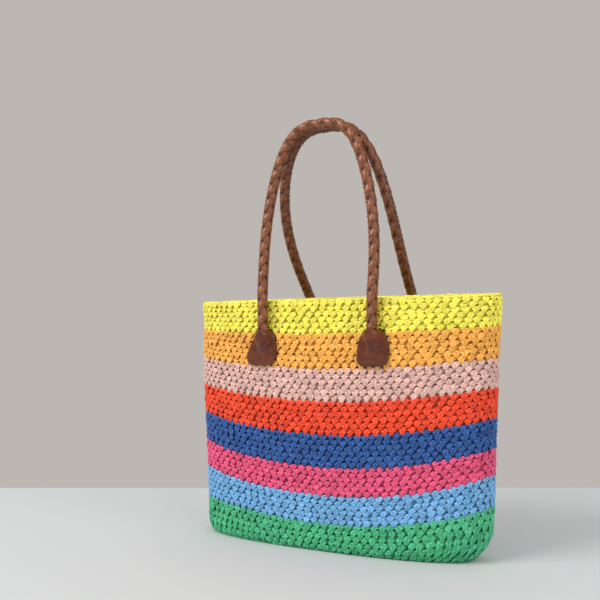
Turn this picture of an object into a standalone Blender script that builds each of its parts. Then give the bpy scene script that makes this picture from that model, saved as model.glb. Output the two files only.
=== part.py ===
# Crochet tote bag: an oval bag of eight crocheted colour stripes with two braided rope
# handles, each held at both ends by a moulded leather tab sewn to the outside of the bag.
# Metres, +Z up. The front faces -Y, and the origin is on the table under the bag's middle.

import math

import bmesh
import bpy
from mathutils import Vector

# The bag's outline from above is a superellipse: power 2 is an ellipse, more is squarer.
PLAN_POWER = 2.5
RIM_HALF_WIDTH = 0.180
RIM_HALF_DEPTH = 0.0465
BASE_HALF_WIDTH = 0.171
BASE_HALF_DEPTH = 0.044
BELLY = 0.004               # how far the long sides swell half way up
EDGE_HEIGHT = 0.012         # height of the rounding between base and wall
EDGE_INSET_ENDS = 0.015     # how far that rounding tucks in at the narrow ends
EDGE_INSET_SKEW = 0.005     # more of that at the right end, less at the left
EDGE_INSET_SIDES = 0.006    # and along the long sides
ROW_LIFT = 0.0234           # how far the rows climb from the middle to the narrow ends
LIFT_SKEW = 0.42            # share by which the lowest rows climb more at the right end
RIM_TILT = 0.0035           # how far the back of the rim stands above its mean height

# Crochet: the stripes from the base up, each with its height at the middle of the front.
STRIPES = (
    ("green_base_and_stripe", 0.0310, (0.060, 0.270, 0.150)),
    ("sky_blue_stripe", 0.0299, (0.130, 0.330, 0.580)),
    ("pink_stripe", 0.0297, (0.640, 0.080, 0.170)),
    ("blue_stripe", 0.0333, (0.036, 0.105, 0.290)),
    ("red_stripe", 0.0355, (0.690, 0.078, 0.030)),
    ("blush_stripe", 0.0347, (0.640, 0.390, 0.340)),
    ("orange_stripe", 0.0373, (0.820, 0.420, 0.085)),
    ("yellow_stripe", 0.0373, (0.860, 0.760, 0.105)),
)
ROWS_PER_STRIPE = 6
ROWS_OVER_EDGE = 4          # rows of the first stripe above the rounding of the base
WALL = 0.0058               # thickness of the fabric at a row's crest
ROW_RELIEF = 0.0016         # depth of the furrow between two rows
RIM_ROUND = 0.0022          # height of the rounded edging along the rim
FLOOR = 0.0058              # thickness of the base

# Handles: round braids whose arch is a superellipse between two mouths.
ROPE_DIAMETER = 0.012
BRAID_PITCH = 0.036         # one full turn of a strand
BRAID_RELIEF = 0.0011       # depth of the grooves between strands
LEG_SPACING = 0.130         # between the two legs of one handle
HANDLE_OFFSET = -0.002      # the handles are sewn a little left of the bag's middle
HANDLE_RISE = 0.213         # from the bending point at the mouth to the arch's middle
HANDLE_BOW = 0.0026         # how far each leg bows outwards half way up
ARCH_POWER = 3.0
FRONT_LEAN = 0.011          # how far the front arch leans in over the opening
HANDLE_GAP = 0.0015         # between the two arches where the back one leans on the front one
LEAN_POWER = 2.1            # more bends the leaning rope sooner above the rim

# Leather tabs.
LEATHER = 0.0015            # one layer, moulded round the rope's end
TAB_HEIGHT = 0.036
TAB_WIDTH = 0.038           # across the sewn flange
TAB_TOP_WIDTH = 0.019       # across the mouth
TAB_SHOULDER = 0.25         # share of the height where the sides start to draw in
TAB_SLANT = -0.004          # how far the lower edge of a front tab is sewn to one side
TAB_CORNER = 0.009          # radius of the lower corners
TAB_FLANGE = 0.0036         # thickness of the sewn flange, two layers pressed together
TAB_DROP = 0.036            # from the rim down to the mouth

FIT_GAP = 0.0003            # between pieces that touch

# Facets.
PLAN_SEGMENTS = 40
ROPE_SIDES = 8
RINGS_PER_TURN = 8
CAP_RINGS = 2
TAB_SECTIONS = 9
TAB_FRONT_POINTS = 13

ROPE_RADIUS = ROPE_DIAMETER / 2
BAG_HEIGHT = sum(height for _, height, _ in STRIPES)
MOUTH_Z = BAG_HEIGHT - TAB_DROP
PIVOT_Z = MOUTH_Z + FIT_GAP + ROPE_RADIUS
LEG_X = LEG_SPACING / 2


def clear_scene():
    for obj in list(bpy.context.scene.objects):
        bpy.data.objects.remove(obj, do_unlink=True)


def make_material(name, color, roughness):
    material = bpy.data.materials.new(name)
    material.use_nodes = True
    shader = material.node_tree.nodes["Principled BSDF"]
    shader.inputs["Base Color"].default_value = (*color, 1.0)
    shader.inputs["Roughness"].default_value = roughness
    shader.inputs["Metallic"].default_value = 0.0
    return material


def add_object(name, mesh_builder, material, origin):
    # The mesh is built in world places and then shifted, so that the origin is at a joint.
    bmesh.ops.recalc_face_normals(mesh_builder, faces=mesh_builder.faces)
    bmesh.ops.translate(mesh_builder, verts=mesh_builder.verts, vec=-origin)
    mesh = bpy.data.meshes.new(name)
    mesh_builder.to_mesh(mesh)
    mesh_builder.free()
    mesh.materials.append(material)
    mesh.shade_smooth()
    mesh.set_sharp_from_angle(angle=math.radians(50))
    obj = bpy.data.objects.new(name, mesh)
    obj.location = origin
    bpy.context.collection.objects.link(obj)
    return obj


def signed_power(value, power):
    return math.copysign(abs(value) ** power, value)


def plan_direction(angle):
    # A point of the superellipse of half sizes 1 and 1.
    power = 2 / PLAN_POWER
    return signed_power(math.cos(angle), power), signed_power(math.sin(angle), power)


def edge_tuck(level):
    # 1 on the table, 0 where the rounding has become the wall.
    if level >= EDGE_HEIGHT:
        return 0.0
    return 1 - math.sqrt(1 - (1 - level / EDGE_HEIGHT) ** 2)


def plan_size(level, across=0.0):
    share = level / BAG_HEIGHT
    tuck = edge_tuck(level)
    end_inset = EDGE_INSET_ENDS + EDGE_INSET_SKEW * across
    half_width = BASE_HALF_WIDTH + (RIM_HALF_WIDTH - BASE_HALF_WIDTH) * share
    half_depth = BASE_HALF_DEPTH + (RIM_HALF_DEPTH - BASE_HALF_DEPTH) * share
    half_depth += BELLY * math.sin(math.pi * share)
    return half_width - end_inset * tuck, half_depth - EDGE_INSET_SIDES * tuck


def row_lift(level, across):
    # The rows climb towards both ends, and the lowest ones more so at the right end.
    lift = ROW_LIFT * math.sin(math.pi * math.sqrt(level / BAG_HEIGHT))
    skew = LIFT_SKEW * (1 - level / BAG_HEIGHT) ** 4
    return lift * across * across * (1 + skew * across)


def wall_point(angle, level, depth):
    # A point of the wall, depth under its outer face. Level is the height at mid front.
    across, along = plan_direction(angle)
    half_width, half_depth = plan_size(level, across)
    normal = Vector((
        signed_power(across, PLAN_POWER - 1) / half_width,
        signed_power(along, PLAN_POWER - 1) / half_depth,
        0.0,
    )).normalized()
    tilt = RIM_TILT * (level / BAG_HEIGHT) ** 2 * along
    height = level + row_lift(level, across) + tilt
    return Vector((half_width * across, half_depth * along, height)) - normal * depth


def wall_y(x, z):
    # Distance of the outer face from the middle plane, on either long side. The rim's
    # tilt is left out, because it moves this by less than a tenth of a millimetre.
    half_width, _ = plan_size(z)
    level = z - row_lift(z, x / half_width)
    half_width, half_depth = plan_size(level)
    return half_depth * (1 - abs(x / half_width) ** PLAN_POWER) ** (1 / PLAN_POWER)


def add_wall_ring(builder, level, depth):
    step = 2 * math.pi / PLAN_SEGMENTS
    return [builder.verts.new(wall_point(i * step, level, depth)) for i in range(PLAN_SEGMENTS)]


def join_rings(builder, first, second):
    count = len(first)
    for i in range(count):
        j = (i + 1) % count
        builder.faces.new((first[i], first[j], second[j], second[i]))


def close_oval(builder, ring):
    # Fills an oval from front to back, so that it may bend along its length.
    count = len(ring)
    half = count // 2
    builder.faces.new((ring[0], ring[1], ring[count - 1]))
    for i in range(1, half - 1):
        builder.faces.new((ring[i], ring[i + 1], ring[count - i - 1], ring[count - i]))
    builder.faces.new((ring[half - 1], ring[half], ring[half + 1]))


def row_profile(low, high, rows):
    # Crests and furrows of a stripe's rows, from its lower to its upper edge.
    steps = 2 * rows
    return [
        (low + (high - low) * i / steps, 0.0 if i % 2 else ROW_RELIEF)
        for i in range(steps + 1)
    ]


def make_stripe(name, low, high, is_rim, material):
    builder = bmesh.new()
    profile = row_profile(low, high, ROWS_PER_STRIPE)
    if is_rim:
        profile[-1] = (high - RIM_ROUND, 0.0)
        profile.append((high, WALL / 3))
        profile.append((high, WALL * 2 / 3))
        profile.append((high - RIM_ROUND, WALL))
    else:
        profile.append((high, WALL))
    profile.append((low, WALL))
    rings = [add_wall_ring(builder, level, depth) for level, depth in profile]
    for i, ring in enumerate(rings):
        join_rings(builder, ring, rings[(i + 1) % len(rings)])
    return add_object(name, builder, material, Vector((0.0, 0.0, 0.0)))


def make_base_and_stripe(name, high, material):
    # The base and the first stripe are worked in one yarn, as an oval cup.
    builder = bmesh.new()
    outer = [(level * EDGE_HEIGHT, 0.0) for level in (0.0, 0.12, 0.45)]
    outer += row_profile(EDGE_HEIGHT, high, ROWS_OVER_EDGE)
    rings = [add_wall_ring(builder, level, depth) for level, depth in outer]
    rings.append(add_wall_ring(builder, high, WALL))
    rings.append(add_wall_ring(builder, EDGE_HEIGHT, WALL))
    rings.append(add_wall_ring(builder, FLOOR, WALL))
    for lower, upper in zip(rings, rings[1:]):
        join_rings(builder, lower, upper)
    close_oval(builder, rings[0])
    close_oval(builder, rings[-1])
    return add_object(name, builder, material, Vector((0.0, 0.0, 0.0)))


def make_bag():
    low = 0.0
    for i, (name, height, color) in enumerate(STRIPES):
        material = make_material(name + "_raffia", color, 0.65)
        high = low + height
        is_rim = i == len(STRIPES) - 1
        top = high if is_rim else high - FIT_GAP / 2
        if i == 0:
            make_base_and_stripe(name, top, material)
        else:
            make_stripe(name, low + FIT_GAP / 2, top, is_rim, material)
        low = high


def leg_y():
    # The rope stands off the wall by its tab's back layer.
    return wall_y(LEG_X, MOUTH_Z) + FIT_GAP + LEATHER + ROPE_RADIUS


def lean_share(height):
    # 0 up to the rim, then quickly towards 1 at the arch's middle.
    start = BAG_HEIGHT - PIVOT_Z
    share = max(0.0, (height - start) / (HANDLE_RISE - start))
    soft = 0.04
    share = share * share / (share + soft) * (1 + soft)
    return 1 - (1 - min(share, 1.0)) ** LEAN_POWER


def handle_route(side, lean):
    # The centre line from mouth to mouth. Side is -1 at the front and 1 at the back.
    samples = 600
    power = 2 / ARCH_POWER
    route = []
    for i in range(samples + 1):
        angle = math.pi * i / samples
        height = HANDLE_RISE * abs(math.sin(angle)) ** power
        bow = HANDLE_BOW * math.sin(math.pi * height / HANDLE_RISE) ** 2
        x = HANDLE_OFFSET - (LEG_X + bow) * signed_power(math.cos(angle), power)
        route.append(Vector((x, side * leg_y() + lean * lean_share(height), PIVOT_Z + height)))
    return route


def even_steps(route, spacing):
    # The same line with evenly spaced points.
    lengths = [0.0]
    for a, b in zip(route, route[1:]):
        lengths.append(lengths[-1] + (b - a).length)
    count = max(2, round(lengths[-1] / spacing))
    points = []
    k = 0
    for i in range(count + 1):
        target = lengths[-1] * i / count
        while k < len(route) - 2 and lengths[k + 1] < target:
            k += 1
        share = (target - lengths[k]) / (lengths[k + 1] - lengths[k])
        points.append(route[k].lerp(route[k + 1], share))
    return points


def braid_radius(angle, distance):
    # Two strands wind each way, and the higher of the two ways shows.
    turn = 2 * math.pi * distance / BRAID_PITCH
    crest = max(abs(math.cos(angle + turn)), abs(math.cos(angle - turn)))
    return ROPE_RADIUS - BRAID_RELIEF * (1 - crest) / (1 - math.cos(math.pi / 4))


def make_handle(name, side, lean, material):
    builder = bmesh.new()
    points = even_steps(handle_route(side, lean), BRAID_PITCH / RINGS_PER_TURN)
    rings = []
    sideways = Vector((0.0, 1.0, 0.0))
    distance = 0.0

    def add_ring(centre, forward, radius_share):
        outward = forward.cross(sideways).normalized()
        ring = []
        for k in range(ROPE_SIDES):
            angle = 2 * math.pi * k / ROPE_SIDES
            radius = braid_radius(angle, distance) * radius_share
            offset = sideways * math.cos(angle) + outward * math.sin(angle)
            ring.append(builder.verts.new(centre + offset * radius))
        return ring

    def add_round_end(centre, forward):
        # A half ball about the joint's axis, so that the rope turns clear of its tab.
        ring_list = []
        for k in range(CAP_RINGS):
            angle = math.pi / 2 * (k + 1) / (CAP_RINGS + 1)
            back = forward * (-ROPE_RADIUS * math.sin(angle))
            ring_list.append(add_ring(centre + back, forward, math.cos(angle)))
        tip = builder.verts.new(centre - forward * ROPE_RADIUS)
        return ring_list, tip

    for i, point in enumerate(points):
        before = points[max(i - 1, 0)]
        after = points[min(i + 1, len(points) - 1)]
        forward = (after - before).normalized()
        if i == 0:
            forward = Vector((0.0, 0.0, 1.0))
        if i == len(points) - 1:
            forward = Vector((0.0, 0.0, -1.0))
        sideways = (sideways - forward * sideways.dot(forward)).normalized()
        distance = BRAID_PITCH / RINGS_PER_TURN * i
        if i == 0:
            start_rings, start_tip = add_round_end(point, forward)
        rings.append(add_ring(point, forward, 1.0))
    end_rings, end_tip = add_round_end(points[-1], -forward)
    # The end's rings run the other way round, so they are turned to match.
    end_rings = [[ring[-k % ROPE_SIDES] for k in range(ROPE_SIDES)] for ring in end_rings]
    rings = start_rings[::-1] + rings + end_rings
    for first, second in zip(rings, rings[1:]):
        join_rings(builder, first, second)
    for k in range(ROPE_SIDES):
        nxt = (k + 1) % ROPE_SIDES
        builder.faces.new((start_tip, rings[0][nxt], rings[0][k]))
        builder.faces.new((end_tip, rings[-1][k], rings[-1][nxt]))
    return add_object(name, builder, material, Vector((0.0, side * leg_y(), PIVOT_Z)))


def smooth_step(value):
    value = min(max(value, 0.0), 1.0)
    return value * value * (3 - 2 * value)


def tab_half_width(height):
    # The flange has round lower corners, and its shoulders draw in to the mouth.
    half = TAB_WIDTH / 2
    if height < TAB_CORNER:
        half += math.sqrt(TAB_CORNER ** 2 - (TAB_CORNER - height) ** 2) - TAB_CORNER
    shoulder = TAB_HEIGHT * TAB_SHOULDER
    share = max(0.0, (height - shoulder) / (TAB_HEIGHT - shoulder))
    return half - (TAB_WIDTH - TAB_TOP_WIDTH) / 2 * share ** 1.2


def tab_depth(across, height, stand_off):
    # Distance of the tab's face from the wall: a thin flange, and the rope's bulge.
    collar = ROPE_RADIUS + LEATHER
    bulge = 0.0
    if abs(across) < collar:
        bulge = stand_off + math.sqrt(collar ** 2 - across ** 2) - TAB_FLANGE
    rise = smooth_step((height / TAB_HEIGHT - 0.22) / 0.6)
    return TAB_FLANGE + max(0.0, bulge) * rise


def make_tab(name, x_mouth, side, slant, material):
    builder = bmesh.new()
    sections = []
    bottom = MOUTH_Z - TAB_HEIGHT
    for i in range(TAB_SECTIONS + 1):
        # More sections near the round corners.
        height = TAB_HEIGHT * (i / TAB_SECTIONS) ** 1.25
        z = bottom + height
        half = tab_half_width(height)
        x_centre = x_mouth + slant * (1 - height / TAB_HEIGHT)
        stand_off = leg_y() - wall_y(x_centre, z)
        loop = []
        for k in range(TAB_FRONT_POINTS):
            across = half * math.sin(math.pi / 2 * (2 * k / (TAB_FRONT_POINTS - 1) - 1))
            depth = tab_depth(across, height, stand_off)
            x = x_centre + across
            loop.append(Vector((x, side * (wall_y(x, z) + depth), z)))
        for k in range(4):
            x = x_centre + half * (1 - 2 * k / 3)
            loop.append(Vector((x, side * (wall_y(x, z) + FIT_GAP), z)))
        sections.append([builder.verts.new(point) for point in loop])
    for lower, upper in zip(sections, sections[1:]):
        join_rings(builder, lower, upper)
    builder.faces.new(sections[0])
    builder.faces.new(sections[-1])
    return add_object(name, builder, material, Vector((x_mouth, side * leg_y(), MOUTH_Z)))


def make_handles_and_tabs():
    rope = make_material("braided_rope", (0.230, 0.085, 0.045), 0.45)
    leather = make_material("tab_leather", (0.140, 0.041, 0.017), 0.38)
    back_lean = FRONT_LEAN + ROPE_DIAMETER + HANDLE_GAP - 2 * leg_y()
    make_handle("front_handle", -1, FRONT_LEAN, rope)
    make_handle("back_handle", 1, back_lean, rope)
    for side, where, slant in ((-1, "front", TAB_SLANT), (1, "back", 0.0)):
        make_tab(where + "_left_tab", HANDLE_OFFSET - LEG_X, side, slant, leather)
        make_tab(where + "_right_tab", HANDLE_OFFSET + LEG_X, side, slant, leather)


def main():
    clear_scene()
    make_bag()
    make_handles_and_tabs()


main()
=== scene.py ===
# Crochet tote bag: how it looks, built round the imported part.
# Metres, +Z up. The front faces -Y, and the bag stands at the origin.
import math

import bpy
import numpy as np
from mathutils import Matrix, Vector


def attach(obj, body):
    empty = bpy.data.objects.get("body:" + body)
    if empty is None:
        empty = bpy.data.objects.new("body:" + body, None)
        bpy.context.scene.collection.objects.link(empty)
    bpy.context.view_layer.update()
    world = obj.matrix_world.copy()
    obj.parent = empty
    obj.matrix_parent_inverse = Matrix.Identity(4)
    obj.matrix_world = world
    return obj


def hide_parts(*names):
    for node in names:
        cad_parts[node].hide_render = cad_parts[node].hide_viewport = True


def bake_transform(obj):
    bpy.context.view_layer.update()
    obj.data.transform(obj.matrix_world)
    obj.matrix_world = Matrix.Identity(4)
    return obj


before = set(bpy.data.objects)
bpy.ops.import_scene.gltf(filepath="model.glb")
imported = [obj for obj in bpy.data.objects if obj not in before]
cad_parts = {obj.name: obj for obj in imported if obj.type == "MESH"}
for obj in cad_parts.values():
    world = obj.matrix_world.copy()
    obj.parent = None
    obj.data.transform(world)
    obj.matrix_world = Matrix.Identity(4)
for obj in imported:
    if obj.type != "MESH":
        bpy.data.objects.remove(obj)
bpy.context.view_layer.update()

rng = np.random.default_rng(87)

# The bag's form, as the solids have it, but for the sagging corner.
PLAN_POWER = 2.5             # roundness of the oval's plan: 2 is an ellipse
RIM_HALF_WIDTH = 0.180
RIM_HALF_DEPTH = 0.0465
BASE_HALF_WIDTH = 0.171
BASE_HALF_DEPTH = 0.044
MEAN_HALF_WIDTH = 0.1755
MEAN_HALF_DEPTH = 0.0490     # with the belly
BELLY = 0.004                # how far the long sides swell out halfway up
EDGE_HEIGHT = 0.012          # the rounding between the base and the wall
EDGE_GIRTH = 0.0165          # way round that rounding, in the fabric
EDGE_INSET_ENDS = 0.015
EDGE_INSET_SKEW = 0.005      # the right end is rounded more than the left one
EDGE_INSET_SIDES = 0.006
ROW_LIFT = 0.0234            # how far the rows climb towards the ends
LIFT_SKEW = 0.42             # how much more the lowest ones climb at the right end
LIFT_SKEW_FADE = 4           # the higher, the lower down this dies out
CORNER_SAG = 0.4             # the yarn sags a little at the lower left corner
CORNER_SAG_FADE = 12
RIM_TILT = 0.0035            # the rim is higher at the back
WALL = 0.0058
BAG_HEIGHT = 0.2687

# The handles' lines, as the solids have them, and the tabs.
ROPE_RADIUS = 0.006
LEG_X = 0.065
HANDLE_OFFSET = -0.002       # the handles are sewn a little left of the middle
HANDLE_RISE = 0.213
HANDLE_BOW = 0.0026
ARCH_POWER = 3.0             # roundness of the arch: 2 is half an ellipse
ARCH_STEPS = 1201
FRONT_LEAN = 0.011
HANDLE_GAP = 0.0015          # between the two ropes, where their tops lean together
LEAN_POWER = 2.1
LEAN_EASE = 0.04             # how softly the lean starts at the rim
LEATHER = 0.0015
TAB_HEIGHT = 0.0382
TAB_TOP_WIDTH = 0.0170
TAB_SHOULDER = 0.25          # where the shoulders start, as a share of the height
TAB_CORNER = 0.0085
TAB_TOP_CORNER = 0.0026
TAB_FOOT_Z = 0.1967
TAB_SHEET = 0.0024           # the leather and what it is moulded round
# Width, roundness of the shoulders and slant of each tab. They are cut by hand, and the
# front two differ as in the photo.
TAB_CUTS = {
    "front_left": (0.0385, 2.0, -0.0068),
    "front_right": (0.0348, 3.0, -0.0020),
    "back_left": (0.0380, 2.2, 0.0),
    "back_right": (0.0380, 2.2, 0.0),
}
TAB_FLANGE = 0.0036          # how far the flange stands out from the fabric
TAB_FACE_LIFT = 0.0008       # the face lies this much above it, round the loops behind
BULGE_START = 0.24           # up the tab, as a share of its height
BULGE_FOOT = 0.0040          # half its width there, and how much more at the mouth
BULGE_SPREAD = 0.0100
CREASE_DEPTH = 0.0005
CREASE_WIDTH = 0.0010
PRESSED_EDGE = 0.0016        # how far the edge is pressed down, and from how far in
PRESSED_EDGE_REACH = 0.0050
LIP = 0.0006
LIP_REACH = 0.0013
SEAM_INSET = 0.0036
SEAM_DEPTH = 0.0003
SEAM_WIDTH = 0.0008
THREAD_SPACING = 0.0031
THREAD_HALF_LENGTH = 0.0011
THREAD_HALF_WIDTH = 0.00038
THREAD_HALF_THICKNESS = 0.00034
MOUTH_Z = 0.2327
PIVOT_Z = 0.2390
FIT_GAP = 0.0003

# Crochet: each stripe is one yarn, in six rows.
ROWS = 6
ROUND_STITCHES = 84
STITCH_WIDTH = 0.0096
STITCH_HEIGHT = 0.0056
YARN_HALF_THICKNESS = 0.00125
YARN_SIDES = 5
LOOP_DEPTH = 0.0016          # middle of the yarn, under the fabric's outer face
BODY_DEPTH = 0.0025          # the fabric's body behind the loops, under the outer face
HOLE_DEPTH = 0.0010          # how much deeper it lies in the gap between two stitches
INNER_BUMP = 0.0012
INNER_BED_DEPTH = 0.0039     # the inner face, where stitches lie on it too
INNER_ROUNDS_FROM = 6        # stripes from this one up show their stitches inside too
BODY_COLUMNS = 4 * ROUND_STITCHES
BASE_ROUNDS = 6
BASE_ROUND_HEIGHT = 0.0062
BASE_GIRTH_RADIUS = 0.098    # of a circle as long as the edge of the base
BASE_GIRTH_LOSS = 5.0        # what a round loses in length for each metre inwards
BASE_BODY_REACH = 0.0378     # the base's body goes in this far, to its middle line
RIM_ALLOWANCE = 0.0012       # the rim's body ends lower, since the edging lies on it
EDGING_WIDTH = 0.0056
EDGING_MIDDLE = 0.0027

# Stripe, its slot, height at mid front, colour of the yarn, and the painted shade colour that
# it takes deep between its stitches. The heights follow the photo.
STRIPES = (
    ("green_base_and_stripe", "green_raffia", 0.0310, "#5CC492", "#0B4026"),
    ("sky_blue_stripe", "sky_blue_raffia", 0.0299, "#88C0E9", "#1F4E78"),
    ("pink_stripe", "pink_raffia", 0.0299, "#F26890", "#8A1A3E"),
    ("blue_stripe", "blue_raffia", 0.0347, "#3D69A9", "#06163A"),
    ("red_stripe", "red_raffia", 0.0357, "#F65A36", "#8A1A04"),
    ("blush_stripe", "blush_raffia", 0.0347, "#ECC4B8", "#865A4E"),
    ("orange_stripe", "orange_raffia", 0.0376, "#FFC060", "#965014"),
    ("yellow_stripe", "yellow_raffia", 0.0352, "#FFF46A", "#B09A18"),
)

# By side, -1 for the front and 1 for the back: how far the ropes draw apart at the right
# shoulder, from this height above the pivots, and how much painted shade darkens a rope.
SHOULDER_SHIFT = {-1: 0.0026, 1: 0.0040}
SHOULDER_START = 0.04
ROPE_SHADE = {-1: 0.0, 1: 0.25}

# Leather where the dye is light, where it is dark and at a cut edge, which on the rope
# is also its painted shade, and the thread.
ROPE_COLORS = ("#9C5C36", "#6E3818", "#341204")
HIDE_COLORS = ("#70300C", "#521E06", "#2A1006")
THREAD_COLOR = "#4A2212"

# Braid: four flat strands, two winding each way.
BRAID_PITCH = 0.0317         # one full turn of a strand, as the photo shows it
BRAID_RADIUS = 0.0050        # middle of the strands, between over and under
BRAID_STEP = 0.0017
BRAID_TWIST = 0.31           # in radians, at either end
WEAVE_DEPTH = 0.00060
STRAND_CROWN = 0.00085
STRAND_EDGE_DROP = 0.0008
STRAND_HALF_ANGLE = 1.36
STRAND_SIDES = 10
CORE_RADIUS = 0.0046
CORE_SIDES = 8
ROPE_TAIL = 0.005            # of each end, hidden in its tab

# The table and the camera, which looks as the photographer did.
TABLE_WIDTH = 5.0
TABLE_BEHIND = 0.34
TABLE_IN_FRONT = 2.4
CAMERA_AZIMUTH = math.radians(27.3)
CAMERA_DISTANCE = 0.891
CAMERA_HEIGHT = 0.2207
CAMERA_LENS = 48.48
CAMERA_SHIFT = (-0.0680, 0.0717)


def linear(hex_color):
    # An sRGB hex value as the linear colour that the shader takes.
    values = [int(hex_color[i:i + 2], 16) / 255 for i in (1, 3, 5)]
    return (*[v / 12.92 if v <= 0.04045 else ((v + 0.055) / 1.055) ** 2.4 for v in values], 1.0)


def deselect_all():
    for obj in bpy.context.selected_objects:
        obj.select_set(False)


def signed_power(value, power):
    return np.sign(value) * np.abs(value) ** power


def smooth_step(value):
    value = np.clip(value, 0.0, 1.0)
    return value * value * (3 - 2 * value)


# The oval's plan, in even steps along its edge.
_turn = np.linspace(0, 2 * math.pi, 16001)
_across = signed_power(np.cos(_turn), 2 / PLAN_POWER)
_along = signed_power(np.sin(_turn), 2 / PLAN_POWER)
_steps = np.hypot(np.diff(_across) * MEAN_HALF_WIDTH, np.diff(_along) * MEAN_HALF_DEPTH)
_share = np.concatenate([[0.0], np.cumsum(_steps)]) / _steps.sum()


def plan_direction(share):
    # The superellipse at an even share of the way round, counted from the right end.
    share = np.mod(share, 1.0)
    return np.interp(share, _share, _across), np.interp(share, _share, _along)


def row_lift(level, across):
    # The rows climb towards both ends, and the lowest ones more so at the right end and
    # less so at the left one.
    level = np.clip(level, 0.0, BAG_HEIGHT)
    lift = ROW_LIFT * np.sin(math.pi * np.sqrt(level / BAG_HEIGHT))
    skew = LIFT_SKEW * (1 - level / BAG_HEIGHT) ** LIFT_SKEW_FADE
    sag = CORNER_SAG * (1 - level / BAG_HEIGHT) ** CORNER_SAG_FADE * np.minimum(across, 0.0)
    return lift * across * across * (1 + skew * across + sag)


def half_sizes(part):
    # Half the width and depth of the wall, at a share of the bag's height.
    half_width = BASE_HALF_WIDTH + (RIM_HALF_WIDTH - BASE_HALF_WIDTH) * part
    half_depth = BASE_HALF_DEPTH + (RIM_HALF_DEPTH - BASE_HALF_DEPTH) * part
    return half_width, half_depth + BELLY * np.sin(math.pi * np.clip(part, 0, 1))


def fabric_face(share, girth):
    # The fabric's outer face. Girth is the way up the fabric from the top of the
    # base's rounding: above 0 the wall, below it the rounding, then the flat base.
    across, along = plan_direction(share)
    theta = np.clip(math.pi / 2 * (1 + girth / EDGE_GIRTH), 0.0, math.pi / 2)
    level = np.where(girth > 0, EDGE_HEIGHT + girth, EDGE_HEIGHT * (1 - np.cos(theta)))
    tuck = np.where(girth > 0, 0.0, 1 - np.sin(theta))
    inward = np.maximum(0.0, -EDGE_GIRTH - girth)
    part = level / BAG_HEIGHT
    half_width, half_depth = half_sizes(part)
    half_width = half_width - (EDGE_INSET_ENDS + EDGE_INSET_SKEW * across) * tuck - inward
    half_depth = np.maximum(half_depth - EDGE_INSET_SIDES * tuck - inward, 0.0002)
    height = level + row_lift(level, across) + RIM_TILT * part * part * along
    return np.stack([half_width * across, half_depth * along, height], axis=-1)


def unevenness(share, girth):
    # Hand-worked fabric is never quite flat: it swells and sinks by half a millimetre.
    turn = 2 * math.pi * share
    way = girth / BAG_HEIGHT
    swell = np.sin(5 * turn + 7 * way) + np.sin(11 * turn - 9 * way + 1.3)
    swell = swell + np.sin(17 * turn + 14 * way)
    return 0.0003 * swell * np.clip(girth / 0.03, 0.0, 1.0)


def fabric_point(share, girth, out):
    # A point that stands out from the fabric's face, along its normal.
    step_share, step_girth = 0.0012, 0.0006
    sideways = fabric_face(share + step_share, girth) - fabric_face(share - step_share, girth)
    upward = fabric_face(share, girth + step_girth) - fabric_face(share, girth - step_girth)
    normal = np.cross(sideways, upward)
    normal /= np.linalg.norm(normal, axis=-1, keepdims=True)
    out = np.asarray(out) + unevenness(share, girth)
    return fabric_face(share, girth) + normal * out[..., None]


def wall_y(x, z):
    # Distance of the outer face from the middle plane, on either long side.
    half_width, _ = half_sizes(z / BAG_HEIGHT)
    level = z - row_lift(z, x / half_width)
    half_width, half_depth = half_sizes(level / BAG_HEIGHT)
    return half_depth * (1 - np.abs(x / half_width) ** PLAN_POWER) ** (1 / PLAN_POWER)


LEG_Y = float(wall_y(LEG_X, MOUTH_Z)) + FIT_GAP + LEATHER + ROPE_RADIUS


def take_mesh(obj):
    # The vertices and faces of a primitive, which is then removed.
    mesh = obj.data
    points = np.empty(len(mesh.vertices) * 3)
    mesh.vertices.foreach_get("co", points)
    faces = [tuple(polygon.vertices) for polygon in mesh.polygons]
    bpy.data.objects.remove(obj, do_unlink=True)
    return points.reshape(-1, 3), faces


def face_outwards(points, faces):
    # Turns the faces of a closed mesh round where its volume comes out below nought.
    volume = 0.0
    for face in faces:
        for i in range(1, len(face) - 1):
            volume += np.dot(points[face[0]], np.cross(points[face[i]], points[face[i + 1]]))
    return [face[::-1] for face in faces] if volume < 0 else faces


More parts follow.
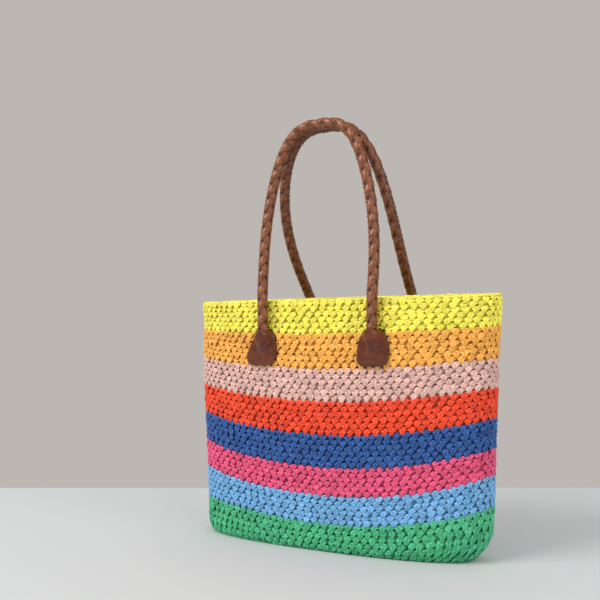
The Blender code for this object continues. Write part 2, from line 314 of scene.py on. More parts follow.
class Yarn:
    # Gathers the loops, strands and sheets that make one piece. Strands holds each point's
    # place along its strand in mm, its place across, and a number that its stitch or
    # strand has to itself. The last value given with the points says how dark each one is
    # painted, from 0 to 1: painted shade that grows with how far down it lies, where yarn
    # dives and where a strand goes under, and on leather also the dark dye of a cut edge.
    def __init__(self):
        self.points, self.strands, self.shade_and_edge_dye = [], [], []
        self.sizes, self.corners = [], []
        self.count = 0

    def add(self, points, faces, strands, shade_and_edge_dye, copies=1):
        sizes = np.array([len(face) for face in faces])
        corners = np.concatenate([np.array(face) for face in faces])
        per_copy = len(points) // copies
        for k in range(copies):
            self.sizes.append(sizes)
            self.corners.append(corners + self.count + k * per_copy)
        self.points.append(points)
        self.strands.append(strands)
        self.shade_and_edge_dye.append(shade_and_edge_dye)
        self.count += len(points)

    def finish(self, name, material):
        points = np.concatenate(self.points).astype(np.float32)
        # The bag's weight presses its base flat on the table.
        points[:, 2] = np.maximum(points[:, 2], 0.0001)
        sizes = np.concatenate(self.sizes).astype(np.int32)
        corners = np.concatenate(self.corners).astype(np.int32)
        mesh = bpy.data.meshes.new(name)
        mesh.vertices.add(len(points))
        mesh.vertices.foreach_set("co", points.ravel())
        mesh.loops.add(len(corners))
        mesh.loops.foreach_set("vertex_index", corners)
        mesh.polygons.add(len(sizes))
        starts = np.concatenate([[0], np.cumsum(sizes)[:-1]]).astype(np.int32)
        mesh.polygons.foreach_set("loop_start", starts)
        mesh.polygons.foreach_set("loop_total", sizes)
        mesh.update(calc_edges=True)
        mesh.validate()
        strand = mesh.attributes.new("strand", "FLOAT_VECTOR", "POINT")
        strand.data.foreach_set("vector", np.concatenate(self.strands).astype(np.float32).ravel())
        shade_and_edge_dye = mesh.attributes.new("shade_and_edge_dye", "FLOAT", "POINT")
        shade_and_edge_dye.data.foreach_set("value", np.concatenate(self.shade_and_edge_dye).astype(np.float32))
        mesh.shade_smooth()
        mesh.materials.append(material)
        obj = bpy.data.objects.new(name, mesh)
        bpy.context.collection.objects.link(obj)
        return obj


# One crochet stitch: a loop of yarn whose blunt foot lies over the row below, whose two
# legs spread upwards, and whose arch goes under the feet of the row above. Each line is
# across and up, as shares of a stitch and a row, then out and the yarn's half width.
HALF_LOOP = (
    (0.135, -0.09, 0.0007, 0.0016),
    (0.130, 0.15, 0.0008, 0.0017),
    (0.150, 0.43, 0.0009, 0.0018),
    (0.385, 0.66, 0.0004, 0.0016),
    (0.270, 0.83, 0.0000, 0.0015),
)
LOOP = np.array(
    [(0.0, -0.10, 0.0005, 0.0016)]
    + list(HALF_LOOP)
    + [(0.0, 0.74, 0.0005, 0.0021)]
    + [(-across, up, out, half) for across, up, out, half in reversed(HALF_LOOP)]
)


def model_stitch():
    # A torus whose rings are laid along the loop, flattened as raffia yarn is.
    deselect_all()
    bpy.ops.mesh.primitive_torus_add(
        major_segments=len(LOOP), minor_segments=YARN_SIDES, major_radius=1.0, minor_radius=0.25)
    points, faces = take_mesh(bpy.context.object)
    ring = np.round(np.arctan2(points[:, 1], points[:, 0]) / (2 * math.pi / len(LOOP))).astype(int)
    ring %= len(LOOP)
    swing = np.arctan2(points[:, 2], np.hypot(points[:, 0], points[:, 1]) - 1.0)
    path = LOOP[:, :3] * (STITCH_WIDTH, STITCH_HEIGHT, 1.0)
    ahead = np.roll(path, -1, axis=0) - np.roll(path, 1, axis=0)
    ahead /= np.linalg.norm(ahead, axis=1, keepdims=True)
    outward = np.array([0.0, 0.0, 1.0]) - ahead * ahead[:, 2:3]
    outward /= np.linalg.norm(outward, axis=1, keepdims=True)
    sideways = np.cross(ahead, outward)
    # A side of the yarn, not an edge, lies on the outside.
    swing = swing + math.pi / 2
    shaped = path[ring] + sideways[ring] * (LOOP[ring, 3] * np.cos(swing))[:, None]
    shaped = shaped + outward[ring] * (YARN_HALF_THICKNESS * np.sin(swing))[:, None]
    way = np.linalg.norm(path - np.roll(path, 1, axis=0), axis=1)
    way[0] = 0.0
    around = swing / math.pi
    strands = np.stack([np.cumsum(way)[ring] * 1000, around, np.zeros(len(ring))], axis=1)
    faces = face_outwards(shaped, faces)
    # Painted shade: the yarn is painted darker where it dives into the fabric, and most
    # under its blunt foot, over the hole that the hook went through.
    shade = np.clip((-0.0003 - shaped[:, 2]) / 0.0018, 0.0, 1.0) * 0.6
    hole = np.clip((-0.14 - shaped[:, 1] / STITCH_HEIGHT) / 0.14, 0.0, 1.0)
    return shaped / (STITCH_WIDTH, STITCH_HEIGHT, 1.0), faces, strands, (shade, hole)


def work_round(
        yarn, stitch, stitches, girth_low, row_height, stagger, width_factor=1.0, inside=False):
    # One round of stitches, each a little different as hand work is.
    shape, faces, strands, (shade, hole) = stitch
    column = np.arange(stitches)[:, None]
    foot_shade_strength = np.clip(rng.normal(0.35, 0.30, (stitches, 1)), 0.0, 1.0)
    wide = 1 + rng.normal(0, 0.06, (stitches, 1))
    tall = 1 + rng.normal(0, 0.05, (stitches, 1))
    aside = rng.normal(0, 0.05, (stitches, 1))
    lift = rng.normal(0, 0.055, (stitches, 1))
    proud = rng.normal(0, 0.00022, (stitches, 1))
    slant = 0.10 + rng.normal(0, 0.06, (stitches, 1))
    wave = 0.05 * np.sin(column * 0.31 + girth_low * 900)
    u = shape[None, :, 0] * wide * width_factor
    v = shape[None, :, 1] * tall + lift + wave
    u = u + slant * (v - 0.5)
    # A row's stitches wander a little against those of the row below.
    waves, start = rng.integers(3, 9), rng.uniform(0, 2 * math.pi)
    aside = aside + 0.17 * np.sin(2 * math.pi * waves * column / stitches + start)
    share = (column + stagger + aside + u) / stitches
    girth = girth_low + v * row_height
    out = shape[None, :, 2] - LOOP_DEPTH + proud
    if inside:
        out = -WALL - out
        faces = [face[::-1] for face in faces]
    points = fabric_point(share, girth, out).reshape(-1, 3)
    own = np.tile(strands, (stitches, 1))
    own[:, 0] += np.repeat(rng.uniform(0, 400, stitches), len(shape))
    own[:, 2] = np.repeat(rng.uniform(0, 1, stitches), len(shape))
    # Painted shade where the yarn dives, and under each foot, as strong as each stitch's own random draw.
    shade_and_edge_dye = np.maximum(shade[None, :], hole[None, :] * foot_shade_strength).ravel()
    yarn.add(points, faces, own, shade_and_edge_dye, stitches)


def fabric_depth(share, girth, row_height, girth_low, holes):
    # Relief of the fabric's body behind the loops, and its painted shade: each gap between
    # two stitches goes in to its own depth and is painted darker the deeper it goes.
    row = (girth - girth_low) / row_height
    index = np.floor(row + 1e-6)
    rise = row - index
    column = share * ROUND_STITCHES - 0.5 * np.mod(index, 2)
    u = column - np.round(column)
    gap = np.mod(np.floor(column), ROUND_STITCHES).astype(int)
    strength = holes[np.clip(index, 0, ROWS).astype(int), gap]
    hole = (np.abs(u) > 0.3) * np.exp(-((rise - 0.2) / 0.28) ** 2) * strength
    return -BODY_DEPTH - HOLE_DEPTH * hole, np.clip(0.35 + 0.65 * hole, 0, 1)


def inner_depth(share, girth, row_height, girth_low, worked):
    # The inner face: a plain bed where stitches lie on it, or else rows of low bumps.
    # Painted shade inside the bag: even on the bed, darker between the bumps.
    if worked:
        return np.full_like(share, -INNER_BED_DEPTH), np.full_like(share, 0.7)
    row = (girth - girth_low) / row_height
    index = np.floor(row + 1e-6)
    column = share * ROUND_STITCHES - 0.5 * np.mod(index, 2)
    bump = np.sin(math.pi * (row - index)) * (0.5 + 0.5 * np.cos(2 * math.pi * column))
    return -WALL + INNER_BUMP - INNER_BUMP * bump, 0.6 - 0.5 * bump


def lay_body(share, girth, inside, row_height, girth_low, worked):
    # Places a sheet's points on both faces of the fabric's body, with their painted shade.
    # Every other row's gaps are a little shallower, and painted a little lighter.
    strength = np.clip(rng.normal(0.62, 0.48, (ROWS + 1, ROUND_STITCHES)), 0.0, 1.4)
    strength *= np.where(np.arange(ROWS + 1) % 2, 0.8, 1.0)[:, None]
    out_depth, out_shade = fabric_depth(share, girth, row_height, girth_low, strength)
    in_depth, in_shade = inner_depth(share, girth, row_height, girth_low, worked)
    shaped = fabric_point(share, girth, np.where(inside, in_depth, out_depth))
    strands = np.stack([share * 800, girth * 1000, np.full_like(share, 0.5)], axis=1)
    return shaped, strands, np.where(inside, in_shade, out_shade)


def weave_body(yarn, profile, row_height, girth_low, worked):
    # The fabric's body as a ring: a torus whose minor rings follow the profile.
    columns = BODY_COLUMNS
    deselect_all()
    bpy.ops.mesh.primitive_torus_add(
        major_segments=columns, minor_segments=len(profile), major_radius=1.0, minor_radius=0.25)
    points, faces = take_mesh(bpy.context.object)
    turn = np.round(np.arctan2(points[:, 1], points[:, 0]) / (2 * math.pi / columns)).astype(int)
    swing = np.arctan2(points[:, 2], np.hypot(points[:, 0], points[:, 1]) - 1.0)
    place = np.round(swing / (2 * math.pi / len(profile))).astype(int) % len(profile)
    share = np.mod(turn, columns) / columns
    girth = np.array([girth for girth, _ in profile])[place]
    inside = np.array([side == "in" for _, side in profile])[place]
    shaped, strands, shade_and_edge_dye = lay_body(share, girth, inside, row_height, girth_low, worked)
    yarn.add(shaped, face_outwards(shaped, faces), strands, shade_and_edge_dye)


def weave_cup(yarn, profile, row_height, girth_low):
    # The same for the base: a ball whose lower pole is the base and whose upper pole
    # is pushed down inside, to the base's upper face.
    columns = BODY_COLUMNS
    deselect_all()
    bpy.ops.mesh.primitive_uv_sphere_add(segments=columns, ring_count=len(profile) + 1)
    points, faces = take_mesh(bpy.context.object)
    ring_angle = math.pi / (len(profile) + 1)
    ring = np.round((np.pi / 2 + np.arcsin(np.clip(points[:, 2], -1, 1))) / ring_angle).astype(int)
    turn = np.round(np.arctan2(points[:, 1], points[:, 0]) / (2 * math.pi / columns)).astype(int)
    share = np.mod(turn, columns) / columns
    place = np.clip(ring - 1, 0, len(profile) - 1)
    girth = np.array([girth for girth, _ in profile])[place]
    inside = np.array([side == "in" for _, side in profile])[place]
    shaped, strands, shade_and_edge_dye = lay_body(share, girth, inside, row_height, girth_low, False)
    shaped[ring == 0] = (0.0, 0.0, 0.0030)
    shaped[ring == len(profile) + 1] = (0.0, 0.0, WALL)
    yarn.add(shaped, face_outwards(shaped, faces), strands, shade_and_edge_dye)


def add_node(tree, kind, settings=None, links=None):
    # Adds a node, sets its options and sockets, and links its inputs.
    node = tree.nodes.new(kind)
    for key, value in (settings or {}).items():
        if isinstance(key, int) or key in node.inputs:
            node.inputs[key].default_value = value
        else:
            setattr(node, key, value)
    for key, source in (links or {}).items():
        tree.links.new(source, node.inputs[key])
    return node


def new_material(name):
    material = bpy.data.materials.new(name)
    material.use_nodes = True
    return material, material.node_tree, material.node_tree.nodes["Principled BSDF"]


def raffia(name, yarn_hex, shade_hex):
    # Paper raffia yarn, dyed and crocheted: folds run along the flat strand, each stitch
    # took the dye a little differently, and the worn crests shine like straw.
    material, tree, shader = new_material(name)
    strand = add_node(tree, "ShaderNodeAttribute", {"attribute_name": "strand"}).outputs["Vector"]
    shade_and_edge_dye = add_node(tree, "ShaderNodeAttribute", {"attribute_name": "shade_and_edge_dye"}).outputs["Fac"]
    parts = add_node(tree, "ShaderNodeSeparateXYZ", links={"Vector": strand})
    # Folds about 1 mm wide and 4 mm long, as coarse as they need to be to show.
    fold_place = add_node(
        tree, "ShaderNodeVectorMath", {"operation": "MULTIPLY", 1: (0.30, 2.4, 9.0)}, {0: strand})
    fold = add_node(
        tree, "ShaderNodeTexNoise", {"Scale": 1.0, "Detail": 3.0, "Roughness": 0.65},
        {"Vector": fold_place.outputs[0]}).outputs["Fac"]
    light = linear(yarn_hex)
    # Painted shade on the folds: a fold in the shade is darker and fuller in colour.
    shade = tuple(0.8 * channel ** 1.4 for channel in light[:3]) + (1.0,)
    spread = add_node(tree, "ShaderNodeMapRange", {"From Min": 0.38, "From Max": 0.60}, {"Value": fold})
    tone = add_node(
        tree, "ShaderNodeMix", {"data_type": "RGBA", 6: shade, 7: light}, {0: spread.outputs["Result"]})
    value = add_node(
        tree, "ShaderNodeMapRange", {"To Min": 0.86, "To Max": 1.14}, {"Value": parts.outputs["Z"]})
    dyed = add_node(
        tree, "ShaderNodeHueSaturation", {},
        {"Color": tone.outputs[2], "Value": value.outputs["Result"]})
    # Painted shade: towards the shade colour deep between the stitches, where the yarn dives and inside
    # the bag.
    base = add_node(
        tree, "ShaderNodeMix", {"data_type": "RGBA", 7: linear(shade_hex)},
        {0: shade_and_edge_dye, 6: dyed.outputs["Color"]})
    tree.links.new(base.outputs[2], shader.inputs["Base Color"])
    rough = add_node(tree, "ShaderNodeMapRange", {"To Min": 0.62, "To Max": 0.36}, {"Value": fold})
    tree.links.new(rough.outputs["Result"], shader.inputs["Roughness"])
    bump = add_node(
        tree, "ShaderNodeBump", {"Strength": 0.7, "Distance": 0.0006}, {"Height": fold})
    tree.links.new(bump.outputs["Normal"], shader.inputs["Normal"])
    shader.inputs["Specular IOR Level"].default_value = 0.32
    return material


def leather(name, colors, roughness, on_strand):
    # Drum-dyed cowhide with a waxed finish: cloudy dye, fine pores, and dark edges where it
    # was cut. On the rope the same dark colour is also painted shade, where a strand goes
    # under the others, in its core and over the whole back rope. A braided strand is grained
    # along its own length.
    light_hex, dark_hex, edge_and_shade_hex = colors
    material, tree, shader = new_material(name)
    if on_strand:
        place = add_node(tree, "ShaderNodeAttribute", {"attribute_name": "strand"}).outputs["Vector"]
    else:
        metres = add_node(tree, "ShaderNodeTexCoord").outputs["Object"]
        place = add_node(
            tree, "ShaderNodeVectorMath", {"operation": "SCALE", "Scale": 1000.0}, {0: metres}).outputs[0]
    shade_and_edge_dye = add_node(tree, "ShaderNodeAttribute", {"attribute_name": "shade_and_edge_dye"}).outputs["Fac"]
    # Clouds of dye about 6 mm across and pores 0.7 mm apart.
    cloud = add_node(
        tree, "ShaderNodeTexNoise", {"Scale": 0.17, "Detail": 5.0, "Roughness": 0.6},
        {"Vector": place}).outputs["Fac"]
    pores = add_node(tree, "ShaderNodeTexVoronoi", {"Scale": 1.4}, {"Vector": place}).outputs["Distance"]
    spread = add_node(tree, "ShaderNodeMapRange", {"From Min": 0.34, "From Max": 0.64}, {"Value": cloud})
    tone = add_node(
        tree, "ShaderNodeMix", {"data_type": "RGBA", 6: linear(dark_hex), 7: linear(light_hex)},
        {0: spread.outputs["Result"]})
    # Towards the third colour: the dye of a cut edge, and on the rope painted shade too.
    base = add_node(
        tree, "ShaderNodeMix", {"data_type": "RGBA", 7: linear(edge_and_shade_hex)}, {0: shade_and_edge_dye, 6: tone.outputs[2]})
    tree.links.new(base.outputs[2], shader.inputs["Base Color"])
    rough = add_node(
        tree, "ShaderNodeMapRange", {"To Min": roughness - 0.08, "To Max": roughness + 0.12},
        {"Value": cloud})
    tree.links.new(rough.outputs["Result"], shader.inputs["Roughness"])
    bump = add_node(tree, "ShaderNodeBump", {"Strength": 0.3, "Distance": 0.0002}, {"Height": pores})
    tree.links.new(bump.outputs["Normal"], shader.inputs["Normal"])
    shader.inputs["Specular IOR Level"].default_value = 0.42
    # The wax on top gives the small, sharp highlights on the folds.
    shader.inputs["Coat Weight"].default_value = 0.25
    shader.inputs["Coat Roughness"].default_value = 0.14
    return material


def waxed_thread(name, hex_color):
    # Twisted polyester thread, waxed: satin, with its twist as fine slanting lines.
    material, tree, shader = new_material(name)
    strand = add_node(tree, "ShaderNodeAttribute", {"attribute_name": "strand"}).outputs["Vector"]
    # The real twist of 0.3 mm is too fine to show, so it is drawn at 0.6 mm.
    twist = add_node(
        tree, "ShaderNodeTexWave", {"Scale": 0.5, "Distortion": 1.5}, {"Vector": strand}).outputs["Fac"]
    color = linear(hex_color)
    shade = tuple(channel * 0.55 for channel in color[:3]) + (1.0,)
    # Painted shade in the grooves of the twist.
    tone = add_node(tree, "ShaderNodeMix", {"data_type": "RGBA", 6: shade, 7: color}, {0: twist})
    tree.links.new(tone.outputs[2], shader.inputs["Base Color"])
    bump = add_node(tree, "ShaderNodeBump", {"Strength": 0.4, "Distance": 0.0002}, {"Height": twist})
    tree.links.new(bump.outputs["Normal"], shader.inputs["Normal"])
    shader.inputs["Roughness"].default_value = 0.45
    return material


def crochet_stripe(index, stitch):
    # One stripe: six rounds of loops over the fabric's body. The lowest one has the base
    # as well, the highest one the edging, and the highest two show their inside.
    node, slot, height, yarn_hex, shade_hex = STRIPES[index]
    low_level = sum(stripe[2] for stripe in STRIPES[:index])
    low = low_level - EDGE_HEIGHT if index else -EDGE_GIRTH
    high = low_level + height - EDGE_HEIGHT
    row_height = (high - low) / ROWS
    worked = index >= INNER_ROUNDS_FROM
    yarn = Yarn()
    is_rim = index == len(STRIPES) - 1
    for row in range(ROWS):
        factor = 1.06 if row % 2 else 0.98
        row_low = low + row * row_height
        work_round(yarn, stitch, ROUND_STITCHES, row_low, row_height, 0.5 * (row % 2), factor)
        if worked:
            work_round(
                yarn, stitch, ROUND_STITCHES, row_low, row_height, 0.25 + 0.5 * (row % 2), 1.05, True)
    top = high - RIM_ALLOWANCE if is_rim else high
    levels = np.linspace(low, top, 3 * ROWS + 1)
    if index:
        profile = [(g, "out") for g in levels]
        profile += [(g, "in") for g in np.linspace(top, low, 2 * ROWS + 1)]
        weave_body(yarn, profile, row_height, low, worked)
    else:
        work_base(yarn, stitch, low)
        inward = np.linspace(-EDGE_GIRTH - BASE_BODY_REACH, low, 13)[:-1]
        inner = np.linspace(top, low + 0.004, 2 * ROWS)
        profile = [(g, "out") for g in inward] + [(g, "out") for g in levels]
        profile += [(g, "in") for g in inner] + [(g, "in") for g in inward[::-1]]
        weave_cup(yarn, profile, row_height, low)
    if is_rim:
        work_edging(yarn, stitch, high)
    piece = yarn.finish("crochet_" + node, raffia(slot, yarn_hex, shade_hex))
    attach(piece, "bag")
    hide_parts(node)


def work_base(yarn, stitch, low):
    # Oval rounds from the edge of the base in to the chain that it starts from.
    for row in range(BASE_ROUNDS):
        inward = (row + 1) * BASE_ROUND_HEIGHT
        around = 2 * math.pi * BASE_GIRTH_RADIUS - BASE_GIRTH_LOSS * inward
        stitches = max(40, round(around / STITCH_WIDTH))
        work_round(yarn, stitch, stitches, low - inward, BASE_ROUND_HEIGHT, 0.5 * (row % 2))


def work_edging(yarn, stitch, high):
    # A round of chain stitches lying on the rim: each loop points along the rim.
    shape, faces, strands, (shade, _) = stitch
    column = np.arange(ROUND_STITCHES)[:, None]
    aside = rng.normal(0, 0.02, (ROUND_STITCHES, 1))
    share = (column + aside + shape[None, :, 1] * 0.95) / ROUND_STITCHES
    across_wall = -shape[None, :, 0] * EDGING_WIDTH - EDGING_MIDDLE
    up = shape[None, :, 2] - 0.0002 + rng.normal(0, 0.00008, (ROUND_STITCHES, 1))
    across_wall = np.broadcast_to(across_wall, share.shape)
    points = fabric_point(share, np.full_like(share, high), across_wall)
    points[..., 2] += up
    points = points.reshape(-1, 3)
    own = np.tile(strands, (ROUND_STITCHES, 1))
    own[:, 2] = np.repeat(rng.uniform(0, 1, ROUND_STITCHES), len(shape))
    one = points[:len(shape)]
    faces = face_outwards(one - one.mean(axis=0), faces)
    yarn.add(points, faces, own, np.tile(shade, ROUND_STITCHES), ROUND_STITCHES)


def lean_share(height):
    # 0 up to the rim, then quickly towards 1 at the arch's middle.
    start = BAG_HEIGHT - PIVOT_Z
    share = np.maximum(0.0, (height - start) / (HANDLE_RISE - start))
    share = share * share / (share + LEAN_EASE) * (1 + LEAN_EASE)
    return 1 - (1 - np.minimum(share, 1.0)) ** LEAN_POWER


def handle_line(side, lean):
    # The rope's middle line, from inside one tab to inside the other.
    angle = np.linspace(0, math.pi, ARCH_STEPS)
    power = 2 / ARCH_POWER
    height = HANDLE_RISE * np.abs(np.sin(angle)) ** power
    bow = HANDLE_BOW * np.sin(math.pi * height / HANDLE_RISE) ** 2
    x = -(LEG_X + bow) * signed_power(np.cos(angle), power)
    y = side * LEG_Y + lean * lean_share(height)
    arch = np.stack([x, y, PIVOT_Z + height], axis=1)
    down = np.linspace(MOUTH_Z - ROPE_TAIL, PIVOT_Z, 30)[:-1]
    left = np.stack([np.full_like(down, -LEG_X), np.full_like(down, side * LEG_Y), down], axis=1)
    # The arches draw a little apart at the right shoulder. 6.75 makes the curve's peak 1.
    share = (arch[:, 2] - PIVOT_Z - SHOULDER_START) / (HANDLE_RISE - SHOULDER_START)
    share = np.clip(share, 0.0, 1.0)
    arch[:, 0] += side * SHOULDER_SHIFT[side] * 6.75 * share ** 2 * (1 - share) * (x > 0)
    line = np.concatenate([left, arch, left[::-1] * (-1, 1, 1)])
    return line + (HANDLE_OFFSET, 0.0, 0.0)


def tube(segments, rings):
    # A ball whose rings will be laid along a line: its faces, each point's ring, its
    # place around the section, and which points are the two closed ends.
    deselect_all()
    bpy.ops.mesh.primitive_uv_sphere_add(segments=segments, ring_count=rings - 1)
    points, faces = take_mesh(bpy.context.object)
    ring_angle = math.pi / (rings - 1)
    ring = np.round((np.pi / 2 + np.arcsin(np.clip(points[:, 2], -1, 1))) / ring_angle).astype(int)
    around = np.arctan2(points[:, 1], points[:, 0])
    return faces, ring, around, (ring == 0) | (ring == rings - 1)


def braid_handle(name, node, side, lean, material):
    # A round braid of four flat leather strands: two wind each way, over and under,
    # round a core painted half dark, as painted shade inside the braid.
    line = handle_line(side, lean)
    steps = np.concatenate([[0.0], np.cumsum(np.linalg.norm(np.diff(line, axis=0), axis=1))])
    rings = int(steps[-1] / BRAID_STEP)
    way = np.linspace(0, steps[-1], rings)
    centre = np.stack([np.interp(way, steps, line[:, i]) for i in range(3)], axis=1)
    forward = np.gradient(centre, axis=0)
    forward /= np.linalg.norm(forward, axis=1, keepdims=True)
    sideways = np.array([0.0, 1.0, 0.0]) - forward * forward[:, 1:2]
    sideways /= np.linalg.norm(sideways, axis=1, keepdims=True)
    outward = np.cross(forward, sideways)
    # The braid is twisted a little, so that its seam faces half to the side.
    twist = np.linspace(-BRAID_TWIST, BRAID_TWIST, rings)
    yarn = Yarn()
    for strand in range(4):
        faces, ring, around, end = tube(STRAND_SIDES, rings)
        body = np.where(end, 0.0, 1.0)
        way_round = 1 if strand < 2 else -1
        phase = math.pi * (strand % 2)
        turn = 2 * math.pi * way[ring] / BRAID_PITCH
        across = np.cos(around) * body
        angle = way_round * turn + phase + twist[ring] + STRAND_HALF_ANGLE * across
        # Over and under follow the place round the rope and a little the strand's middle.
        over = way_round * (0.6 * np.cos(2 * (angle - twist[ring])) + 0.4 * np.cos(2 * turn))
        crown = STRAND_CROWN * signed_power(np.sin(around), 0.75) * body
        radius = BRAID_RADIUS + WEAVE_DEPTH * over + crown - STRAND_EDGE_DROP * across ** 4
        offset = sideways[ring] * np.cos(angle)[:, None] + outward[ring] * np.sin(angle)[:, None]
        shaped = centre[ring] + offset * radius[:, None]
        faces = face_outwards(shaped - shaped.mean(axis=0), faces)
        along = way[ring] * 1000 + 97 * strand
        strands = np.stack([along, across * 3, np.full(len(ring), 5.0 * strand)], axis=1)
        # A strand is dark at its cut edges, and painted shade darkens it where it dives under
        # the others.
        edge = smooth_step((np.abs(across) - 0.64) / 0.22)
        shade_and_edge_dye = np.maximum(edge, 0.45 * smooth_step((-over - 0.10) / 0.6))
        # Painted shade over the whole back rope.
        shade_and_edge_dye = np.maximum(shade_and_edge_dye, ROPE_SHADE[side])
        yarn.add(shaped, faces, strands, shade_and_edge_dye)
    faces, ring, around, end = tube(CORE_SIDES, rings // 2)
    near = np.round(np.linspace(0, rings - 1, rings // 2)).astype(int)[ring]
    radius = np.where(end, 0.0, CORE_RADIUS)
    offset = sideways[near] * np.cos(around)[:, None] + outward[near] * np.sin(around)[:, None]
    shaped = centre[near] + offset * radius[:, None]
    faces = face_outwards(shaped - shaped.mean(axis=0), faces)
    strands = np.stack([way[near] * 1000, around, np.zeros(len(ring))], axis=1)
    # The core is painted half dark: painted shade in the braid's hollow.
    yarn.add(shaped, faces, strands, np.full(len(ring), 0.5))
    piece = yarn.finish(name, material)
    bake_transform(piece)
    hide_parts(node)


def corner_inset(radius, distance):
    # What a round corner takes off, nought or less, at a distance from the edge.
    into = np.maximum(radius - distance, 0.0)
    return np.sqrt(np.maximum(radius ** 2 - into ** 2, 0.0)) - radius


def tab_half_width(height, cut):
    # Round lower corners, and shoulders that draw in to the mouth.
    width, power, _ = cut
    lower = corner_inset(TAB_CORNER, height)
    upper = corner_inset(TAB_TOP_CORNER, TAB_HEIGHT - height)
    shoulder = TAB_HEIGHT * TAB_SHOULDER
    share = np.maximum(0.0, (height - shoulder) / (TAB_HEIGHT - shoulder))
    return width / 2 + lower + upper - (width - TAB_TOP_WIDTH) / 2 * share ** power


def tab_face(across, height, stand_off, cut):
    # Distance of the tab's face from the wall: a flat flange, the rope's end under it as
    # a bulge that narrows downwards between two creases, a pressed seam and a lip.
    share = np.clip((height / TAB_HEIGHT - BULGE_START) / (1 - BULGE_START), 0.0, 1.0)
    collar = ROPE_RADIUS + LEATHER
    half = BULGE_FOOT + BULGE_SPREAD * share ** 0.8
    half = np.minimum(half, tab_half_width(height, cut) - 0.0004)
    reach = np.clip(np.abs(across) / half, 0.0, 1.0)
    crown = np.sqrt(1 - reach ** 2) * (1 - reach ** 3)
    rise = smooth_step(share / 0.75)
    bulge = (stand_off + collar - TAB_FLANGE) * crown * rise
    crease = CREASE_DEPTH * np.exp(-((np.abs(across) - half) / CREASE_WIDTH) ** 2)
    crease = crease * smooth_step(share / 0.3)
    edge = np.minimum(tab_half_width(height, cut) - np.abs(across), height)
    seam = SEAM_DEPTH * np.exp(-((edge - SEAM_INSET) / SEAM_WIDTH) ** 2)
    rounded = PRESSED_EDGE * (1 - smooth_step(edge / PRESSED_EDGE_REACH)) ** 2
    lip = LIP * np.exp(-((TAB_HEIGHT - height) / LIP_REACH) ** 2)
    return TAB_FLANGE + TAB_FACE_LIFT + bulge - crease - seam - rounded + lip


def tab_place(across, height, x_mouth, side, cut, out=0.0):
    # A point of the tab's face, from its place on the flat cut piece.
    x_centre = x_mouth + cut[2] * (1 - height / TAB_HEIGHT)
    x = x_centre + across
    z = TAB_FOOT_Z + height
    depth = tab_face(across, height, LEG_Y - wall_y(x_centre, z), cut) + out
    return np.stack([x, side * (wall_y(x, z) + depth), z], axis=1)


def mould_tab(name, node, x_mouth, side, cut, material):
    # A grid pressed to the tab's form, then given the leather's thickness.
    deselect_all()
    bpy.ops.mesh.primitive_grid_add(x_subdivisions=54, y_subdivisions=50, size=2)
    tab = bpy.context.object
    tab.name = name
    points = np.empty(len(tab.data.vertices) * 3)
    tab.data.vertices.foreach_get("co", points)
    points = points.reshape(-1, 3)
    height = TAB_HEIGHT * ((points[:, 1] + 1) / 2) ** 1.15
    across = points[:, 0] * tab_half_width(height, cut)
    shaped = tab_place(across, height, x_mouth, side, cut)
    tab.data.vertices.foreach_set("co", shaped.ravel())
    # At the back the grid is mirrored, so its faces are turned round.
    if side > 0:
        tab.data.flip_normals()
    thick = tab.modifiers.new("leather", "SOLIDIFY")
    thick.thickness = TAB_SHEET
    thick.offset = -1
    soft = tab.modifiers.new("pressed_edge", "BEVEL")
    soft.width = 0.0006
    soft.segments = 2
    soft.limit_method = "ANGLE"
    soft.angle_limit = math.radians(55)
    for modifier in ("leather", "pressed_edge"):
        bpy.ops.object.modifier_apply(modifier=modifier)
    mark_cut_edge(tab, x_mouth, cut)
    tab.data.shade_smooth()
    tab.data.materials.append(material)
    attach(tab, "bag")
    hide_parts(node)


def mark_cut_edge(tab, x_mouth, cut):
    # How near each point is to the tab's cut edge, which is dyed darker.
    points = np.empty(len(tab.data.vertices) * 3)
    tab.data.vertices.foreach_get("co", points)
    points = points.reshape(-1, 3)
    height = np.clip(points[:, 2] - TAB_FOOT_Z, 0.0, TAB_HEIGHT)
    across = points[:, 0] - x_mouth - cut[2] * (1 - height / TAB_HEIGHT)
    edge = np.minimum(tab_half_width(height, cut) - np.abs(across), height)
    edge = np.minimum(edge, TAB_HEIGHT - height + 0.0006)
    shade_and_edge_dye = tab.data.attributes.new("shade_and_edge_dye", "FLOAT", "POINT")
    shade_and_edge_dye.data.foreach_set("value", (0.85 * (1 - smooth_step(edge / 0.0014))).astype(np.float32))


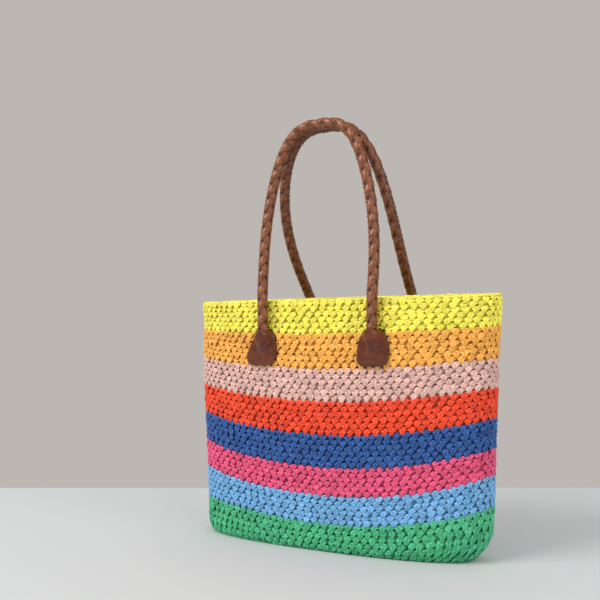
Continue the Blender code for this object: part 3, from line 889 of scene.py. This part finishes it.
def sew_tab(name, x_mouth, side, cut, material):
    # Stitches of thread, tone on tone, in the pressed seam along the flange.
    height = np.linspace(TAB_HEIGHT * 0.66, SEAM_INSET, 80)
    width = tab_half_width(height, cut) - SEAM_INSET
    low = np.linspace(width[-1], -width[-1], 60)[1:-1]
    across = np.concatenate([width, low, -width[::-1]])
    up = np.concatenate([height, np.full_like(low, SEAM_INSET), height[::-1]])
    steps = np.concatenate([[0.0], np.cumsum(np.hypot(np.diff(across), np.diff(up)))])
    count = int(steps[-1] / THREAD_SPACING)
    middle = (np.arange(count) + 0.5) * steps[-1] / count
    deselect_all()
    bpy.ops.mesh.primitive_uv_sphere_add(segments=6, ring_count=5)
    ball, faces = take_mesh(bpy.context.object)
    faces = face_outwards(ball, faces)
    yarn = Yarn()
    for k in range(count):
        spot = middle[k] + ball[:, 2] * THREAD_HALF_LENGTH
        ahead_x = np.interp(spot, steps, across)
        ahead_z = np.interp(spot, steps, up)
        tangent_x = np.interp(spot + 0.0003, steps, across) - ahead_x
        tangent_z = np.interp(spot + 0.0003, steps, up) - ahead_z
        length = np.hypot(tangent_x, tangent_z) + 1e-9
        at_x = ahead_x - tangent_z / length * ball[:, 0] * THREAD_HALF_WIDTH
        at_z = ahead_z + tangent_x / length * ball[:, 0] * THREAD_HALF_WIDTH
        # Each stitch lies proud of the leather in its middle and dives in at its ends.
        out = ball[:, 1] * THREAD_HALF_THICKNESS + 0.00015 - 0.0003 * ball[:, 2] ** 2
        shaped = tab_place(at_x, at_z, x_mouth, side, cut, out)
        ready = face_outwards(shaped - shaped.mean(axis=0), faces)
        strands = np.stack([spot * 1000, ball[:, 0], np.full(len(ball), 0.5)], axis=1)
        yarn.add(shaped, ready, strands, np.zeros(len(ball)))
    piece = yarn.finish(name, material)
    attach(piece, "bag")


def set_stage():
    # A pale table whose far edge lies behind the bag, square to the camera.
    deselect_all()
    bpy.ops.mesh.primitive_plane_add(size=1)
    floor = bpy.context.object
    floor.name = "floor"
    for vertex in floor.data.vertices:
        right = vertex.co.x * TABLE_WIDTH
        away = TABLE_BEHIND if vertex.co.y > 0 else -TABLE_IN_FRONT
        vertex.co.x = right * math.cos(CAMERA_AZIMUTH) - away * math.sin(CAMERA_AZIMUTH)
        vertex.co.y = right * math.sin(CAMERA_AZIMUTH) + away * math.cos(CAMERA_AZIMUTH)
    material, _, shader = new_material("floor_paint")
    shader.inputs["Base Color"].default_value = linear("#C6C8C6")
    shader.inputs["Roughness"].default_value = 0.8
    floor.data.materials.append(material)

    # Daylight from all round, in front of a plain warm grey wall.
    world = bpy.data.worlds.new("soft_daylight")
    world.use_nodes = True
    bpy.context.scene.world = world
    tree = world.node_tree
    daylight = tree.nodes["Background"]
    daylight.inputs["Color"].default_value = linear("#F4F6FA")
    daylight.inputs["Strength"].default_value = 0.78
    wall = add_node(tree, "ShaderNodeBackground", {"Color": linear("#BCB7B2"), "Strength": 1.0})
    path = add_node(tree, "ShaderNodeLightPath").outputs
    seen = add_node(
        tree, "ShaderNodeMath", {"operation": "MAXIMUM"},
        {0: path["Is Camera Ray"], 1: path["Is Glossy Ray"]}).outputs[0]
    seen = add_node(
        tree, "ShaderNodeMath", {"operation": "MAXIMUM"},
        {0: seen, 1: path["Is Transmission Ray"]}).outputs[0]
    mixed = add_node(
        tree, "ShaderNodeMixShader", {}, {0: seen, 1: daylight.outputs[0], 2: wall.outputs[0]})
    tree.links.new(mixed.outputs[0], tree.nodes["World Output"].inputs["Surface"])

    for name, place, size, power in (
        ("key_light", (-0.9, -1.5, 1.7), 1.2, 33.0),
        ("fill_light", (1.6, -0.6, 1.1), 1.4, 10.0),
    ):
        lamp = bpy.data.lights.new(name, "AREA")
        lamp.size = size
        lamp.energy = power
        obj = bpy.data.objects.new(name, lamp)
        obj.location = place
        direction = Vector((0.0, 0.0, 0.15)) - Vector(place)
        obj.rotation_euler = direction.to_track_quat("-Z", "Y").to_euler()
        bpy.context.collection.objects.link(obj)


def set_camera():
    # Level, and turned to the bag's middle.
    camera_data = bpy.data.cameras.new("camera")
    camera = bpy.data.objects.new("camera", camera_data)
    camera.location = (
        CAMERA_DISTANCE * math.sin(CAMERA_AZIMUTH), -CAMERA_DISTANCE * math.cos(CAMERA_AZIMUTH),
        CAMERA_HEIGHT)
    camera.rotation_euler = (math.pi / 2, 0.0, CAMERA_AZIMUTH)
    camera_data.sensor_width = 36.0
    camera_data.lens = CAMERA_LENS
    camera_data.shift_x, camera_data.shift_y = CAMERA_SHIFT
    bpy.context.collection.objects.link(camera)
    bpy.context.scene.camera = camera


def main():
    set_camera()
    set_stage()
    stitch = model_stitch()
    for index in range(len(STRIPES)):
        crochet_stripe(index, stitch)
    rope = leather("braided_rope", ROPE_COLORS, 0.36, True)
    hide = leather("tab_leather", HIDE_COLORS, 0.26, False)
    thread = waxed_thread("tab_thread", THREAD_COLOR)
    back_lean = FRONT_LEAN + 2 * ROPE_RADIUS + HANDLE_GAP - 2 * LEG_Y
    braid_handle("front_handle_braid", "front_handle", -1, FRONT_LEAN, rope)
    braid_handle("back_handle_braid", "back_handle", 1, back_lean, rope)
    for side, where in ((-1, "front"), (1, "back")):
        for hand, leg in (("left", -LEG_X), ("right", LEG_X)):
            place = where + "_" + hand
            x_mouth = HANDLE_OFFSET + leg
            mould_tab(place + "_leather", place + "_tab", x_mouth, side, TAB_CUTS[place], hide)
            sew_tab(place + "_thread", x_mouth, side, TAB_CUTS[place], thread)
    bpy.context.scene.view_settings.view_transform = "Standard"


main()
